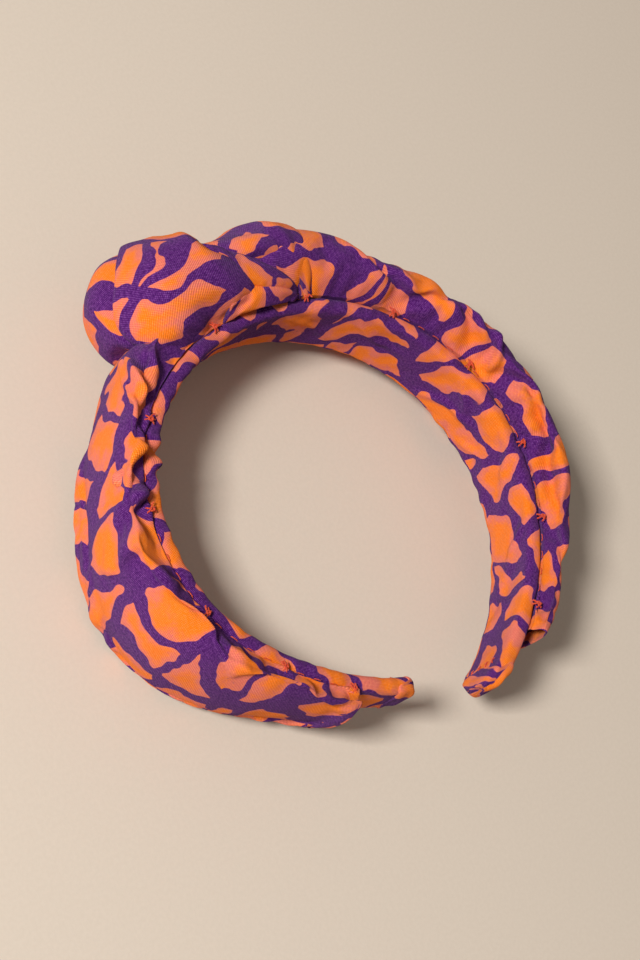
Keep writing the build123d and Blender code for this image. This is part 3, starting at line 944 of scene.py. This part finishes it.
# Each belt's net, thickness, rows, columns, pleats and print shift.
KNOT = (
    ("knot_over_loop", OVER_LOOP, 4.5, 72, 64, ((0.42, 0.52, 0.5, 0.05), (0.72, 0.8, 0.7, 0.05)), (0, 0)),
    ("knot_left_tuck", LEFT_TUCK, 4.0, 44, 56, ((0.35, 0.3, 0.8, 0.06), (0.7, 0.75, 0.8, 0.07)), (60, 20)),
    ("knot_upper_strand", UPPER_STRAND, 4.0, 44, 44, ((0.45, 0.45, 1.2, 0.14), (0.85, 0.8, 0.6, 0.08)), (15, 70)),
    ("knot_lower_strand", LOWER_STRAND, 3.5, 44, 44, ((0.3, 0.35, 1.2, 0.12), (0.72, 0.66, 1.0, 0.1)), (95, 45)),
    (
        "knot_under_loop", UNDER_LOOP, 4.0, 72, 56,
        ((0.2, 0.25, 1.2, 0.07), (0.5, 0.5, 1.6, 0.08), (0.8, 0.72, 1.2, 0.07)), (130, 10),
    ),
)


def knot_belt(name, net, thick, rows, columns, pleats, shift):
    """One belt of the knot, its back held and its face puffed."""
    belt = fold(f"{name}_cloth", net, thick, rows, columns, pleats)
    around = np.sin(np.linspace(0, 2 * math.pi, columns, endpoint=False))
    pins = np.ones((rows, 1)) * (around < -0.2)
    pins[:2] = 1
    pins[-2:] = 1
    settle(belt, pins.ravel(), pressure=0.3, grow=0.04, frames=16, limit=1.2)
    for tack in KNOT_TACKS:
        gather(belt, (tack, 4.2, 12.8), 11.0, 1.2, 4)
    rest_on_floor(belt)
    refine(belt)
    dress(belt, printed_cotton(f"{name}_cotton", shift=shift), name)
    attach(belt, "crown")


def knot_filling():
    """The knot's wadding, well inside its belts."""
    s = np.linspace(-33, 27, 30)[:, None]
    around = np.linspace(-math.pi, math.pi, 36, endpoint=False)[None, :]
    n, z = oval(KNOT_SECTIONS, s, around, -9.5)
    fill = grid_object("knot_wadding_fill", place(s, n, z), caps=True)
    dress(fill, WADDING, "knot_wadding")
    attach(fill, "crown")


for row in KNOT:
    knot_belt(*row)
knot_ties = [path for tack in KNOT_TACKS for edge in (1, -1) for path in tack_paths(tack, edge)]
knot_thread = threads("knot_tack_threads", knot_ties, TACK_RADIUS)
dress(knot_thread, THREAD, "knot_tacks")
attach(knot_thread, "crown")
knot_filling()

# ---- camera, floor and light ----------------------------------------------------------------------

# Metres, degrees and millimetres of lens.
CAMERA_AT = (-0.3742, -0.0607, 0.4908)
CAMERA_TURN = (23.54, -32.10, -30.36)
CAMERA_LENS = 74.9
LIGHT_AT = (-1.35, 0.32, 1.25)

camera = new_object("camera", bpy.data.cameras.new("camera"))
bpy.context.scene.camera = camera
camera.location = CAMERA_AT
camera.rotation_euler = [math.radians(a) for a in CAMERA_TURN]
camera.data.lens = CAMERA_LENS
camera.data.clip_start = 0.01
camera.data.clip_end = 20

floor_mesh = bpy.data.meshes.new("floor")
floor_mesh.from_pydata([(-3, -3, 0), (3, -3, 0), (3, 3, 0), (-3, 3, 0)], [], [(0, 1, 2, 3)])
floor = new_object("floor", floor_mesh)
floor.data.materials.append(plain("floor_paper", (208, 193, 176), (211, 196, 179), 0.8, 0.9, 0.0002, 0.15))

light = bpy.data.lights.new("key", "AREA")
light.size = 0.35
light.energy = 42
lamp = new_object("key", light)
lamp.location = LIGHT_AT
lamp.rotation_euler = (-Vector(LIGHT_AT)).to_track_quat("-Z", "Y").to_euler()

world = bpy.data.worlds.new("world")
bpy.context.scene.world = world
world.use_nodes = True
world.node_tree.nodes["Background"].inputs["Color"].default_value = (1.0, 0.94, 0.88, 1)
world.node_tree.nodes["Background"].inputs["Strength"].default_value = 0.25
bpy.context.scene.view_settings.view_transform = "Standard"
